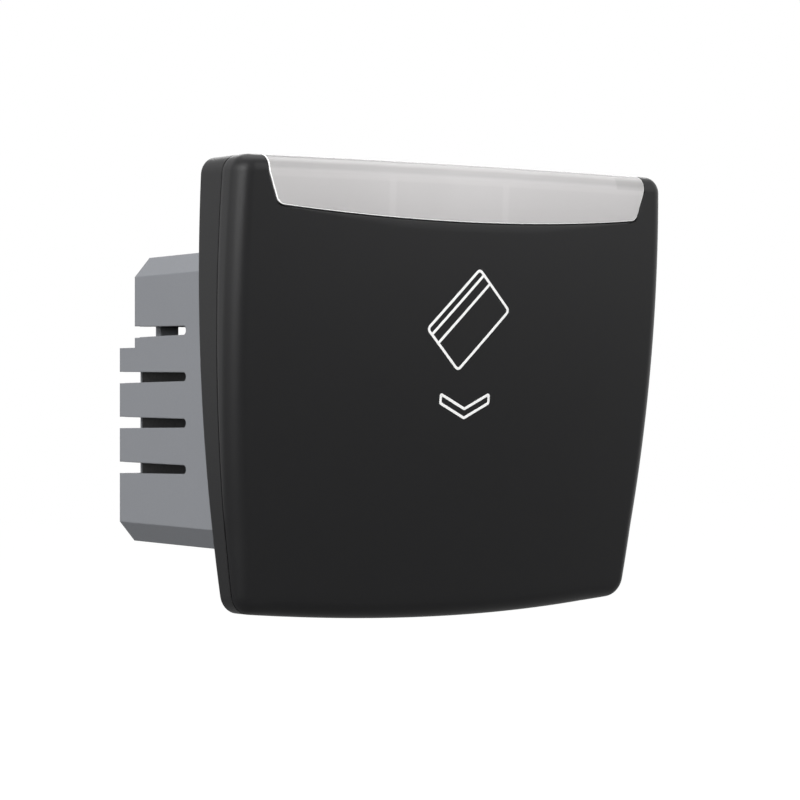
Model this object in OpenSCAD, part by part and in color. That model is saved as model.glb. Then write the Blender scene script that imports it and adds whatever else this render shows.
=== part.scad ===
// Hotel key card switch: a card pocket with a lit upper edge, on a three-module wiring case.
// X runs across the wall, +Z up, +Y into the wall. The wall plane is Y = 0 and the origin is
// the centre of the module window. Lengths are in millimetres.

/* [Front cover] */
// Width of the cover at its widest height
cover_w = 82.4; // [80:0.1:90]
// Height of the widest place above the centre
widest_z = 18.35; // [10:0.05:25]
// Radius of the bowed sides
side_r = 302; // [250:1:500]
// Top edge above the centre
cover_top = 35.8; // [34:0.1:42]
// Lowest point of the foot below the centre
cover_foot = 33.3; // [31:0.1:40]
// Radius of the bowed foot
foot_r = 370; // [250:1:600]
// Corner radius at the top
top_corner_r = 2.8; // [2.6:0.1:5]
// Corner radius at the foot
foot_corner_r = 3.2; // [2.6:0.1:5]
// Radius of the rounded front edge
edge_r = 2.5; // [1:0.1:2.5]
// Depth of the front edge at centre height, from the wall
edge_depth = 7.73; // [7:0.05:11]
// Forward lean of the front for each millimetre of height
front_lean = 0.0975; // [0.08:0.0025:0.105]
// Radius of the front's bow from foot to top
lean_r = 704; // [600:1:900]
// Extra depth of the bulge in the middle of the front
bulge = 2.87; // [2:0.05:5]
// Wall of the cover
cover_wall = 1.8; // [1.2:0.1:2]
// Depth of the parting line at centre height
parting_depth = 4.14; // [3.8:0.02:4.6]
// Lean of the parting line for each millimetre of height
parting_lean = 0.044; // [0.03:0.002:0.05]

/* [Light bar] */
// Lowest point of the bar's lower edge above the centre
bar_z = 26.93; // [26:0.1:29]
// Radius of the bowed lower edge
bar_bow_r = 370; // [250:1:600]
// Width of the bar at its lower corners
bar_foot_w = 68.6; // [66:0.1:70]
// Width of the bar at its top
bar_top_w = 72; // [70:0.1:75]
// Height of the bar's straight upper ends
bar_end_h = 2.4; // [1.5:0.1:4]
// Radius of the bar's lower corners
bar_corner_r = 1.6; // [0.5:0.1:2]
// Depth of the bar's rear face, from the wall
bar_back = 7; // [6.6:0.1:8]
// Width of each light pipe
pipe_w = 1.9; // [1.2:0.1:2]
// Thickness of each light pipe
pipe_t = 2.6; // [2:0.1:3]
// Distance of the ribs on the bar's rear face from the middle
rib_x = 10.6; // [8:0.1:14]
// Width of those ribs
rib_w = 0.8; // [0.5:0.1:1.2]
// Height of those ribs
rib_h = 0.5; // [0.3:0.1:0.6]

/* [Card pocket] */
// Width of the card
card_w = 54; // [50:0.5:54]
// Clearance at each side of the card
card_clear = 1; // [0.5:0.1:1]
// Pocket floor below the centre
floor_z = 20; // [19.8:0.1:21]
// Thickness of the frame's plate
plate_t = 1.6; // [1.2:0.1:1.8]
// Thickness of the frame's rim
rim_t = 2; // [1.6:0.1:2.4]
// Thickness of the rails and the floor
rail_t = 1.2; // [0.8:0.1:1.3]

/* [Rear case] */
// Width of the case
case_w = 68; // [66.5:0.5:71]
// Height of the case
case_h = 45.6; // [45:0.1:47]
// Chamfer of the long edges, across
case_chamfer = 2.7; // [2:0.1:3.4]
// Chamfer of the long edges, upwards
case_chamfer_h = 3.1; // [2:0.1:3.6]
// Depth of the terminal part of the case
case_depth = 35.25; // [34.8:0.05:40]
// How much shallower the upper part of the case is
case_step = 4.65; // [3:0.05:5]
// Height of that step above the centre
step_z = 8.2; // [8:0.1:9]
// Draft of the case walls in degrees
case_draft = 0.8; // [0.2:0.1:0.9]
// Wall of the case
case_wall = 1.4; // [1.2:0.1:1.8]
// Pitch of the slots
slot_pitch = 7.1; // [6.9:0.1:7.3]
// Height of a slot at the rear
slot_h = 1.8; // [1:0.1:2]
// Height of a slot at its front end
slot_tip_h = 1.35; // [0.8:0.05:1.8]
// Depth of the slots' front ends
slot_front = 15.3; // [14:0.1:20]
// Reach of the slots round the corner into the rear wall
slot_reach = 4.3; // [3.5:0.1:5]
// Width of the pillars between those slots and the vent above the step
pillar_w = 3.3; // [2:0.1:4]

/* [Mechanism] */
// Diameter of the lever's pivot pin
pin_d = 2; // [1.5:0.1:2.4]
// Radial running clearance of pins and stems in their bores
run_clear = 0.05; // [0.02:0.01:0.1]
// Height of the pivot above the centre
pivot_z = 4; // [3.5:0.1:4.2]
// Depth of the pivot behind the wall plane
pivot_y = 7; // [6.6:0.1:7.3]
// Width of the lever
lever_w = 9; // [7:0.1:10]
// How far the lever's nose stands into the pocket
nose_reach = 3; // [2:0.1:3.2]
// Drop of the plunger's axis below the pivot
plunger_drop = 12; // [11.6:0.1:12.4]
// Diameter of the plunger's stem
stem_d = 4; // [3.4:0.1:4.2]
// Gap between the open contacts
contact_gap = 1.9; // [1.85:0.01:2.2]
// Wire of the return spring
return_wire = 0.6; // [0.4:0.05:0.65]

/* [Terminals] */
// Distance of the outer terminals from the case's sides
terminal_side = 13.4; // [13:0.1:13.8]
// Diameter of the wire entry in a terminal cage
wire_d = 3.4; // [2.5:0.1:3.6]
// Thread diameter of a terminal screw
terminal_screw_d = 3.5; // [3:0.1:3.6]
// Thread diameter of a case screw
case_screw_d = 3; // [2.5:0.1:3.2]

/* [Hidden] */
$fn = 48;

// Clearances: flush joints, seats, free air round moving pieces, and the overlap of joined shapes
part_gap = 0.1;
seat_gap = 0.2;
free_gap = 0.4;
eps = 0.01;

// Half width of the cover at height z, and its circle centres and corner circles
half_w = cover_w / 2;
side_c = [half_w - side_r, widest_z];
foot_c = [0, foot_r - cover_foot];
top_corner_z = cover_top - top_corner_r;
top_corner = [
    side_c.x + sqrt(pow(side_r - top_corner_r, 2) - pow(top_corner_z - widest_z, 2)),
    top_corner_z
];
foot_corner = meet(side_c, side_r - foot_corner_r, foot_c, foot_r - foot_corner_r);

// Lower right meeting point of two circles
function meet(a, ra, b, rb) =
    let (
        d = norm(b - a),
        along = (d * d + ra * ra - rb * rb) / (2 * d),
        up = sqrt(ra * ra - along * along),
        u = (b - a) / d
    )
    a + along * u + up * [u.y, -u.x];
function heading(v) = atan2(v.y, v.x);
function towards(t) = [cos(t), sin(t)];
// Points of an arc, with the outward heading at each
function arc(c, r, from, to, n) = [
    for (i = [0:n]) let (t = from + (to - from) * i / n) [c + r * towards(t), t]
];

function inner_steps(a) = [for (i = [1:len(a) - 2]) a[i]];

// Right half of the outline from the top centre to the foot centre, with k times the usual steps
side_from = heading(top_corner - side_c);
side_to = heading(foot_corner - side_c);
foot_from = heading(foot_corner - foot_c);
top_steps = 6;
corner_steps = 5;
side_steps = 12;
foot_steps = 7;
function half_outline(k) = concat(
    [for (i = [0:top_steps - 1]) [[top_corner.x * i / top_steps, cover_top], 90]],
    arc(top_corner, top_corner_r, 90, side_from, corner_steps * k),
    inner_steps(arc(side_c, side_r, side_from, side_to, side_steps * k)),
    arc(foot_corner, foot_corner_r, side_to, foot_from, corner_steps * k),
    [for (s = arc(foot_c, foot_r, foot_from, -90, foot_steps * k)) if (s[1] < foot_from) s]
);
function whole(half) = concat(
    half,
    [for (i = [len(half) - 2:-1:1]) let (s = half[i]) [[-s[0].x, s[0].y], 180 - s[1]]]
);
outline = whole(half_outline(1));
fine_outline = whole(half_outline(2));
function inset(s, d) = s[0] - d * towards(s[1]);

// Depth of the front, and of the parting line, from the wall
function front_depth(p) =
    edge_depth + front_lean * p.y - p.y * p.y / (2 * lean_r) + bulge * (1 - pow(p.x / half_w, 2));
function parting(z) = parting_depth + parting_lean * z;
function place(p, depth) = [p.x, -depth, p.y];

// Rings of a shell skin: the parting edge, the rounded edge, then the front drawn in to a point.
// The skin lies `sink` inside the outer one and its rounded edge keeps to the wall behind it.
edge_steps = 4;
front_steps = 5;
edge_land = 0.4;
inner_edge_r = 0.3;
function edge_limit(s) =
    min(edge_r, front_depth(inset(s, edge_r)) - parting(s[0].y) - edge_land);
function skin_edge(s, sink) = max(edge_limit(s) - sink, inner_edge_r);
function edge_ring(sink, k) = [
    for (s = outline)
        let (
            r = skin_edge(s, sink),
            t = 90 * k / edge_steps,
            p = inset(s, sink + r * (1 - cos(t)))
        )
        place(p, front_depth(p) - sink - r * (1 - sin(t)))
];
function front_ring(sink, k) = [
    for (s = outline)
        let (p = inset(s, sink + skin_edge(s, sink)) * (1 - k / front_steps))
        place(p, front_depth(p) - sink)
];
function back_ring(sink, drop) = [
    for (s = outline)
        let (p = inset(s, sink))
        place(p, parting(p.y) - drop)
];
module skin(sink, drop = 0) {
    rings = concat(
        [back_ring(sink, drop)],
        [for (k = [0:edge_steps]) edge_ring(sink, k)],
        [for (k = [1:front_steps - 1]) front_ring(sink, k)]
    );
    n = len(outline);
    m = len(rings);
    front_tip = m * n;
    back_tip = front_tip + 1;
    points = concat(
        [for (r = rings) each r],
        [place([0, 0], front_depth([0, 0]) - sink), place([0, 0], parting(0) - drop)]
    );
    faces = concat(
        [for (i = [0:n - 1]) [back_tip, (i + 1) % n, i]],
        [for (k = [0:m - 2], i = [0:n - 1])
            let (a = k * n + i, b = k * n + (i + 1) % n) each [[a, b, a + n], [b, b + n, a + n]]],
        [for (i = [0:n - 1]) [(m - 1) * n + i, (m - 1) * n + (i + 1) % n, front_tip]]
    );
    polyhedron(points, faces, convexity = 4);
}

// A box between two corners, and a bar along X, Y or Z with a round section
module block(lo, hi) {
    translate(lo)
        cube(hi - lo);
}
module rod_x(d, x0, x1, y, z) {
    translate([x0, y, z])
        rotate([0, 90, 0])
            cylinder(d = d, h = x1 - x0);
}
module rod_y(d, y0, y1, x, z) {
    translate([x, y0, z])
        rotate([-90, 0, 0])
            cylinder(d = d, h = y1 - y0);
}
// A front view drawn in X and Z, raised from depth `from` to depth `to` in front of the wall
module raised(from, to) {
    translate([0, -from, 0])
        rotate([90, 0, 0])
            linear_extrude(to - from)
                children();
}
// A side view drawn in Y and Z, drawn out from x0 to x1
module drawn_x(x0, x1) {
    translate([x0, 0, 0])
        rotate([90, 0, 90])
            linear_extrude(x1 - x0)
                children();
}
module both_sides() {
    children();
    mirror([1, 0, 0])
        children();
}

// Card pocket
pocket_half = card_w / 2 + card_clear;
rail_out = pocket_half + rail_t;
deepest = front_depth([0, cover_top]) + edge_r;
mouth_z = cover_top - 3 * rim_t;
// Inner surface of the cover over a point of the front view
function inner_depth(x, z) = front_depth([x, z]) - cover_wall;

// Light bar and its pipes
bar_kink_z = cover_top - bar_end_h;
rib_low = bar_z + rib_w;
rib_high = bar_kink_z - rib_w;
tab_reach = 4.4;
mouth_half = pocket_half + tab_reach;
pipe_x0 = rail_out + seat_gap;
pipe_x1 = pipe_x0 + pipe_w;
pipe_z0 = 16.2;
pipe_z1 = pipe_z0 + pipe_t;
pipe_depth0 = plate_t + free_gap;
pipe_depth1 = pipe_depth0 + pipe_t;
pipe_end_y = 1.4;
// Lamps near the case's side walls, and the feet of the pipes that reach over them
lamp_side = 2.25;
lamp_x = case_w / 2 - case_wall - lamp_side;
pipe_foot_x0 = min(pipe_x0, lamp_x - pipe_w / 2);
pipe_foot_x1 = max(pipe_x1, lamp_x + pipe_w / 2);
module pipe_foot(grow = 0) {
    block(
        [pipe_foot_x0 - grow, part_gap - grow, pipe_z0 - grow],
        [pipe_foot_x1 + grow, pipe_end_y + grow, pipe_z1 + grow]
    );
}
bar_arc_steps = 12;
bar_corner_steps = 4;
// Front view of the bar: bowed lower edge, round lower corners, slanted ends, straight upper ends
function bar_low(x) = bar_z + x * x / (2 * bar_bow_r);
module bar_face(grow = 0) {
    foot = bar_foot_w / 2 + grow;
    top = bar_top_w / 2 + grow;
    corner = [foot, bar_low(foot) - grow];
    from = heading([bar_bow_r, foot]);
    to = heading([top, bar_kink_z] - corner);
    back = bar_corner_r * tan((to - from) / 2);
    centre = corner - back * towards(from) + bar_corner_r * towards(from + 90);
    round_end = [for (s = arc(centre, bar_corner_r, from - 90, to - 90, bar_corner_steps)) s[0]];
    flat = foot - back;
    right = concat(
        [for (i = [0:bar_arc_steps - 1]) let (x = flat * i / bar_arc_steps) [x, bar_low(x) - grow]],
        round_end,
        [[top, bar_kink_z], [top, cover_top + edge_r]]
    );
    left = [for (i = [len(right) - 1:-1:1]) [-right[i].x, right[i].y]];
    polygon(concat(right, left));
}

// Cover hooks behind the side walls, and their pockets in the rim
hook_t = 1.1;
hook_h = 4;
hook_barb = 0.5;
hook_zs = [22, -12];
hook_depth0 = 1.9;
hook_barb_h = 1;
function half_at(z) = side_c.x + sqrt(side_r * side_r - pow(z - widest_z, 2));
function hook_out(z) = half_at(z - hook_h / 2) - rim_t - seat_gap;
module hook(z, grow = 0) {
    out = hook_out(z);
    low = z - hook_h / 2 - grow;
    high = z + hook_h / 2 + grow;
    block([out - hook_t, -inner_depth(out, low) - cover_wall / 2, low], [out, -hook_depth0, high]);
    block(
        [out - hook_t, -hook_depth0 - hook_barb_h - grow, low],
        [out + hook_barb + grow, -hook_depth0 + grow, high]
    );
}

// Lever: the nose tip stands nose_reach into the pocket and swings back flush with the plate
nose_z = -15;
nose_top_z = -11.6;
nose_low_z = -17;
nose_tip_t = 0.8;
lever_back = 1.4;
lever_fore = 1.8;
lever_rear = pivot_y + lever_back;
lever_front = pivot_y - lever_fore;
hub_d = 5;
window_under = 2.2;
window_over = 1.2;
window_low = nose_low_z - window_under;
window_high = nose_top_z + window_over;
ear_t = 1.6;
ear_x0 = lever_w / 2 + seat_gap;
ear_x1 = ear_x0 + ear_t;
ear_r = 2.8;

// Plunger, spring seats and contacts along Y, on the plunger's axis
plunger_z = pivot_z - plunger_drop;
dome_r = 2;
dome_gap = 0.15;
dome_y = lever_rear + dome_gap + dome_r;
pad_d = 7.8;
pad_t = 1.2;
pad_rear = dome_y + pad_t;
block_front = 12.5;
contact_room = 12.7;
bridge_front = case_depth - contact_room;
contact_spring_h = 2.4;
stem_end = bridge_front - contact_spring_h;
guide_h = 2.7;
spring_seat = stem_end - guide_h;
neck_d = 2.5;
bridge_t = 0.8;
bridge_rear = bridge_front + bridge_t;
tip_t = 0.8;
tip_d = 3.2;
terminal_pitch = (case_w - 2 * terminal_side) / 3;
contact_x = terminal_pitch / 2;
bridge_h = 5;
bridge_over = 2.5;
fixed_front = bridge_rear + tip_t + contact_gap;
strip_t = 0.8;
strip_front = fixed_front + tip_t;
strip_rear = strip_front + strip_t;
clip_t = 0.6;
clip_d = 4.6;
neck_over = 1;
neck_end = bridge_rear + clip_t + neck_over;
return_d = 7.2;
contact_wire = 0.4;
contact_spring_d = 3.7;

// Contact block
block_side = 2.3;
block_half = case_w / 2 - case_wall - block_side;
block_low = -13.6;
block_high = step_z - case_wall - seat_gap;
block_rear = case_depth - case_wall - part_gap;
chamber_side = 3.8;
chamber_half = contact_x + bridge_over + chamber_side;
chamber_low = block_low + 1;
chamber_high = -3.5;
block_wall = 1.6;
pocket_wall = 2.4;
pocket_x0 = chamber_half + pocket_wall;
pocket_x1 = block_half - block_wall;

// Terminals
terminal_xs = [for (i = [-1.5:1.5]) i * terminal_pitch];
cage_space = 5.8;
cage_w = terminal_pitch - cage_space;
cage_low = -20;
cage_high = block_low - seat_gap;
wire_y = strip_front - part_gap - wire_d / 2 - seat_gap;
cage_wall = 1;
cage_front = wire_y - wire_d / 2 - cage_wall;
cage_reach = 3.8;
cage_rear = strip_rear + cage_reach;
terminal_z = -16.9;
terminal_head_d = 5.6;
terminal_head_h = 2.4;
strip_side = 1.3;
strip_w = cage_w - 2 * strip_side;
strip_dip = 1.2;
side_strip_w = strip_w - 1;
side_strip_z = 4.6;
entry_clear = 0.5;

// Screws and bosses: [x, z, depth of the case there]
upper_depth = case_depth - case_step;
upper_screw_side = 11.5;
upper_screw_z = 15.6;
lower_screw_side = 5.3;
lower_screw_z = -17.5;
screw_places = [
    [case_w / 2 - upper_screw_side, upper_screw_z, upper_depth],
    [case_w / 2 - lower_screw_side, lower_screw_z, case_depth]
];
boss_d = 6;
boss_y = 9;
shoulder_d = 8;
head_d = 5.6;
head_h = 2;
case_boss_d = 7.4;
head_sink = 3;
boss_floor = 2.8;
thread_from = 3;

// Lamp board
board_y = 2.6;
board_t = 1.6;
board_low = 8.2;
board_screw_x = 11;
board_screw_z = 17;
board_screw_d = 2;
board_post_d = 4.4;
led_size = [1.6, 0.8, 2];
resistor_size = [3.2, 0.6, 1.6];
resistor_xs = [-6, 0, 6];
resistor_z = 11;
rectifier_size = [5, 2.2, 4];

// Snap lugs of the case
lug_x = 14;
lug_w = 8;
lug_y0 = 2.5;
lug_y1 = 8;
lug_h = 0.9;

module front_cover() {
    color("#2b2b2d")
        difference() {
            union() {
                difference() {
                    skin(0);
                    skin(cover_wall, 1);
                }
                both_sides()
                    for (z = hook_zs)
                        hook(z);
            }
            raised(bar_back - part_gap, deepest)
                bar_face(part_gap);
            block([-pocket_half, -bar_back, mouth_z], [pocket_half, 0, cover_top + 1]);
            // open above the light pipes, for the bar's tabs
            block([-mouth_half, -bar_back, cover_top - rim_t - part_gap], [mouth_half, 0, cover_top + 1]);
            // clear of the light pipes where they turn forward into the bar
            both_sides()
                block(
                    [pipe_x0 - part_gap, -bar_back, bar_z],
                    [pipe_x1 + part_gap, 0, bar_kink_z + part_gap]
                );
        }
}

module light_bar() {
    color("#d9d9d9")
        union() {
            intersection() {
                skin(0);
                raised(bar_back, deepest)
                    bar_face();
            }
            both_sides() {
                block(
                    [pipe_x0, -bar_back - eps, bar_kink_z - 2 * pipe_t],
                    [pipe_x1, -pipe_depth0, bar_kink_z]
                );
                block([pipe_x0, -pipe_depth1, pipe_z0], [pipe_x1, -pipe_depth0, bar_kink_z]);
                block([pipe_x0, -pipe_depth1, pipe_z0], [pipe_x1, pipe_end_y, pipe_z1]);
                pipe_foot();
                block(
                    [rib_x - rib_w / 2, -bar_back - eps, rib_low],
                    [rib_x + rib_w / 2, rib_h - bar_back, rib_high]
                );
                block(
                    [pocket_half + part_gap, -bar_back - eps, cover_top - rim_t],
                    [mouth_half - part_gap, -parting(cover_top) - part_gap, cover_top]
                );
            }
        }
}

// Points of the outline drawn in by d
function outline_points(d) = [for (s = fine_outline) inset(s, d)];
// Everything behind the parting plane
module behind_parting() {
    tall = 2 * cover_w;
    rotate([atan(parting_lean), 0, 0])
        translate([-tall / 2, -parting_depth * cos(atan(parting_lean)), -tall / 2])
            cube([tall, tall, tall]);
}
rail_steps = 8;
rail_top = bar_z - 1;
module rail_side() {
    low = -floor_z - rail_t;
    polygon(concat(
        [[0, rail_top], [0, low]],
        [for (i = [0:rail_steps])
            let (z = low + (rail_top - low) * i / rail_steps) [-inner_depth(rail_out, z) + seat_gap, z]]
    ));
}
floor_steps = 8;
module floor_top() {
    polygon(concat(
        [[rail_out, 0], [-rail_out, 0]],
        [for (i = [0:floor_steps])
            let (x = rail_out * (2 * i / floor_steps - 1))
            [x, -inner_depth(x, -floor_z - rail_t) + seat_gap]]
    ));
}
module rear_frame() {
    color("#242426")
        difference() {
            union() {
                intersection() {
                    raised(0, deepest)
                        difference() {
                            polygon(outline_points(0));
                            polygon(outline_points(rim_t));
                        }
                    behind_parting();
                }
                raised(0, plate_t)
                    polygon(outline_points(rim_t / 2));
                both_sides()
                    drawn_x(pocket_half, rail_out)
                        rail_side();
                translate([0, 0, -floor_z - rail_t])
                    linear_extrude(rail_t)
                        floor_top();
                both_sides() {
                    block([ear_x0, -eps, pivot_z - ear_r], [ear_x1, pivot_y, pivot_z + ear_r]);
                    rod_x(2 * ear_r, ear_x0, ear_x1, pivot_y, pivot_z);
                    rod_y(board_post_d, -eps, board_y, board_screw_x, board_screw_z);
                    for (p = screw_places)
                        rod_y(boss_d, -eps, boss_y, p.x, p.y);
                    rod_y(shoulder_d, -eps, board_y, screw_places[0].x, screw_places[0].y);
                }
            }
            block([-pocket_half, -deepest, mouth_z], [pocket_half, -plate_t, cover_top + 1]);
            block(
                [-ear_x0, -plate_t - 1, window_low],
                [ear_x0, 1, window_high]
            );
            both_sides() {
                block(
                    [pipe_x0 - part_gap, -plate_t - 1, pipe_z0 - part_gap],
                    [pipe_x1 + part_gap, 1, pipe_z1 + part_gap]
                );
                rod_y(board_screw_d, -plate_t / 2, board_y + 1, board_screw_x, board_screw_z);
                for (p = screw_places)
                    rod_y(case_screw_d, thread_from - 1, boss_y + 1, p.x, p.y);
                for (z = hook_zs)
                    hook(z, seat_gap);
            }
            rod_x(pin_d + 2 * run_clear, -2 * ear_x1, 2 * ear_x1, pivot_y, pivot_z);
        }
}

// Drafted eight-sided box of the case, drawn in by `sink`, from depth y0 to y1
corner_sink = 2 - sqrt(2);
function case_ring(sink, y) =
    let (
        w = case_w / 2 - sink - y * tan(case_draft),
        h = case_h / 2 - sink - y * tan(case_draft),
        c = case_chamfer - sink * corner_sink,
        t = case_chamfer_h - sink * corner_sink
    )
    [
        [w, y, h - t], [w - c, y, h], [c - w, y, h], [-w, y, h - t],
        [-w, y, t - h], [c - w, y, -h], [w - c, y, -h], [w, y, t - h]
    ];
module case_box(sink, y0, y1) {
    polyhedron(
        concat(case_ring(sink, y0), case_ring(sink, y1)),
        concat(
            [[for (i = [7:-1:0]) i], [for (i = [8:15]) i]],
            [for (i = [0:7]) let (j = (i + 1) % 8) [i, j, j + 8, i + 8]]
        )
    );
}
function case_half_h(y) = case_h / 2 - y * tan(case_draft);

slot_zs = [for (i = [1.5:-1:-1.5]) i * slot_pitch];
slot_end_r = slot_tip_h / 2;
vent_half = case_w / 2 - slot_reach - pillar_w;
// One slot: along both flanks from its round front end, and round the corner along the rear wall
module flank_slot(z, rear) {
    flank_in = case_w / 2 - 2 * case_wall;
    both_sides() {
        drawn_x(flank_in, case_w) {
            polygon([
                [slot_front + slot_end_r, z - slot_tip_h / 2], [case_depth + 1, z - slot_h / 2],
                [case_depth + 1, z + slot_h / 2], [slot_front + slot_end_r, z + slot_tip_h / 2]
            ]);
            translate([slot_front + slot_end_r, z])
                circle(d = slot_tip_h);
        }
        block(
            [case_w / 2 - slot_reach, rear - case_wall - part_gap, z - slot_h / 2],
            [case_w, case_depth + 1, z + slot_h / 2]
        );
    }
}
module case_lug() {
    both_sides()
        drawn_x(lug_x - lug_w / 2, lug_x + lug_w / 2)
            polygon([
                [lug_y0, case_half_h(lug_y0) - case_wall / 2],
                [lug_y0, case_half_h(lug_y0) + lug_h],
                [lug_y1, case_half_h(lug_y1) - case_wall / 2]
            ]);
}
module rear_case() {
    color("#8b8d91")
        difference() {
            union() {
                difference() {
                    case_box(0, 0, case_depth);
                    block([-case_w, upper_depth, step_z], [case_w, case_depth + 1, case_h]);
                    difference() {
                        case_box(case_wall, -1, case_depth - case_wall);
                        block(
                            [-case_w, upper_depth - case_wall, step_z - case_wall],
                            [case_w, case_depth, case_h]
                        );
                    }
                }
                both_sides()
                    for (p = screw_places)
                        rod_y(case_boss_d, p.z - head_sink - boss_floor, p.z - eps, p.x, p.y);
                case_lug();
                mirror([0, 0, 1])
                    case_lug();
            }
            for (z = slot_zs)
                flank_slot(z, z > step_z ? upper_depth : case_depth);
            // vent between the pillars, level with the highest slots
            block(
                [-vent_half, upper_depth - case_wall - part_gap, slot_zs[0] - slot_h / 2],
                [vent_half, upper_depth + 1, slot_zs[0] + slot_h / 2]
            );
            both_sides()
                for (p = screw_places) {
                    rod_y(head_d + 2 * seat_gap, p.z - head_sink, p.z + 1, p.x, p.y);
                    rod_y(case_screw_d + 2 * seat_gap, 0, p.z, p.x, p.y);
                }
            for (x = terminal_xs) {
                translate([x, wire_y, -case_h])
                    cylinder(d = wire_d + 2 * entry_clear, h = case_h + cage_low);
                rod_y(terminal_head_d + 2 * entry_clear, cage_rear, case_depth + 1, x, terminal_z);
            }
            both_sides()
                pipe_foot(part_gap);
        }
}

leg_over = 0.9;
leg_w = 3.5;
leg_x0 = pocket_x0 - leg_over;
leg_x1 = leg_x0 + leg_w;
leg_half_h = 3;
module contact_block() {
    color("#1c1c1e")
        difference() {
            union() {
                block([-block_half, block_front, block_low], [block_half, block_rear, block_high]);
                both_sides()
                    block([leg_x0, 0, -leg_half_h], [leg_x1, block_front + eps, leg_half_h]);
            }
            // guide bore, spring seat, and the chamber of the contacts, open to the rear
            rod_y(stem_d + 2 * run_clear, 0, block_rear, 0, plunger_z);
            rod_y(pad_d + 2 * free_gap, 0, spring_seat, 0, plunger_z);
            block([-chamber_half, stem_end, chamber_low], [chamber_half, block_rear + 1, chamber_high]);
            for (s = [-1, 1])
                block(
                    [s * contact_x - strip_w / 2 - part_gap, strip_front - part_gap, block_low - 1],
                    [s * contact_x + strip_w / 2 + part_gap, block_rear + 1, chamber_low + 1]
                );
            both_sides() {
                block(
                    [pocket_x0, block_front - 1, block_low + block_wall],
                    [pocket_x1, block_rear - block_wall, block_high - block_wall]
                );
                block(
                    [3 * contact_x - side_strip_w / 2 - part_gap, strip_front - part_gap, block_low - 1],
                    [3 * contact_x + side_strip_w / 2 + part_gap, strip_rear + part_gap, 0]
                );
            }
        }
}

module contact_base() {
    color("#2f2f33")
        block(
            [part_gap - chamber_half, strip_rear, chamber_low + part_gap],
            [chamber_half - part_gap, block_rear, chamber_high - part_gap]
        );
}

module card_lever() {
    tip_y = -plate_t - nose_reach;
    color("#e8e6e0")
        difference() {
            union() {
                drawn_x(-lever_w / 2, lever_w / 2)
                    polygon([
                        [lever_rear, pivot_z], [lever_front, pivot_z], [lever_front, nose_top_z],
                        [-plate_t, nose_top_z], [tip_y, nose_z], [tip_y, nose_z - nose_tip_t],
                        [tip_y + nose_tip_t, nose_low_z], [lever_rear, nose_low_z]
                    ]);
                rod_x(hub_d, -lever_w / 2, lever_w / 2, pivot_y, pivot_z);
            }
            rod_x(pin_d + 2 * run_clear, -lever_w, lever_w, pivot_y, pivot_z);
        }
}

module lever_pin() {
    color("#c9ccd0")
        rod_x(pin_d, -ear_x1, ear_x1, pivot_y, pivot_z);
}

module plunger() {
    color("#d7d2c4") {
        intersection() {
            translate([0, dome_y, plunger_z])
                sphere(r = dome_r);
            block([-dome_r, 0, plunger_z - dome_r], [dome_r, dome_y + eps, plunger_z + dome_r]);
        }
        rod_y(pad_d, dome_y, pad_rear, 0, plunger_z);
        rod_y(stem_d, dome_y, stem_end, 0, plunger_z);
        rod_y(neck_d, dome_y, neck_end, 0, plunger_z);
    }
}

// Coil spring along Y: one tube swept along a helix, its ends drawn in flat against the seats
curl_gap = 0.5;
curl_rings = 8;
tube_sides = 6;
function helix(r, y0, y1, turns) =
    let (n = ceil(turns * curl_rings))
    [for (i = [0:n]) let (t = 360 * turns * i / n) [r * cos(t), y0 + (y1 - y0) * i / n, r * sin(t)]];
function tube_ring(c, t, radius) = [
    for (k = [0:tube_sides - 1])
        let (a = 360 * k / tube_sides)
        [
            c.x + radius * cos(a) * cos(t),
            c.y + radius * sin(a),
            c.z + radius * cos(a) * sin(t)
        ]
];
function coil_gap(path, wire) = min([
    for (i = [0:len(path) - 1], j = [i + curl_rings - 2:1:min(i + curl_rings + 2, len(path) - 1)])
        norm(path[i] - path[j]) - wire
]);
module coil(outer_d, wire, y0, y1) {
    turns = (y1 - y0 - wire) / (wire + curl_gap);
    r = (outer_d - wire) / 2;
    path = helix(r, y0 + wire / 2, y1 - wire / 2, turns);
    n = len(path);
    m = tube_sides;
    points = concat(
        [for (c = path) each tube_ring(c, atan2(c.z, c.x), wire / 2)],
        [path[0], path[n - 1]]
    );
    faces = concat(
        [for (i = [0:n - 2], k = [0:m - 1])
            let (a = i * m + k, b = i * m + (k + 1) % m) each [[a, a + m, b], [b, a + m, b + m]]],
        [for (k = [0:m - 1]) [n * m, k, (k + 1) % m]],
        [for (k = [0:m - 1]) [n * m + 1, (n - 1) * m + (k + 1) % m, (n - 1) * m + k]]
    );
    echo(least_gap_between_curls = coil_gap(path, wire));
    translate([0, 0, plunger_z])
        polyhedron(points, faces, convexity = 6);
}
module return_spring() {
    color("#b9bdc2")
        coil(return_d, return_wire, pad_rear + part_gap, spring_seat - part_gap);
}
module contact_spring() {
    color("#b9bdc2")
        coil(contact_spring_d, contact_wire, stem_end + part_gap, bridge_front - part_gap);
}

module contact_bridge() {
    half = contact_x + bridge_over;
    color("#c8813f")
        difference() {
            block(
                [-half, bridge_front, plunger_z - bridge_h / 2],
                [half, bridge_rear, plunger_z + bridge_h / 2]
            );
            rod_y(neck_d + 2 * run_clear, bridge_front - 1, bridge_rear + 1, 0, plunger_z);
        }
}
module contact_tips(y) {
    color("#d5d6d2")
        both_sides()
            rod_y(tip_d, y, y + tip_t, contact_x, plunger_z);
}
module bridge_tips() {
    contact_tips(bridge_rear);
}
module fixed_tips() {
    contact_tips(fixed_front);
}
module stem_clip() {
    color("#a9adb3")
        difference() {
            rod_y(clip_d, bridge_rear, bridge_rear + clip_t, 0, plunger_z);
            rod_y(neck_d + 2 * run_clear, bridge_rear - 1, bridge_rear + clip_t + 1, 0, plunger_z);
        }
}

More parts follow.
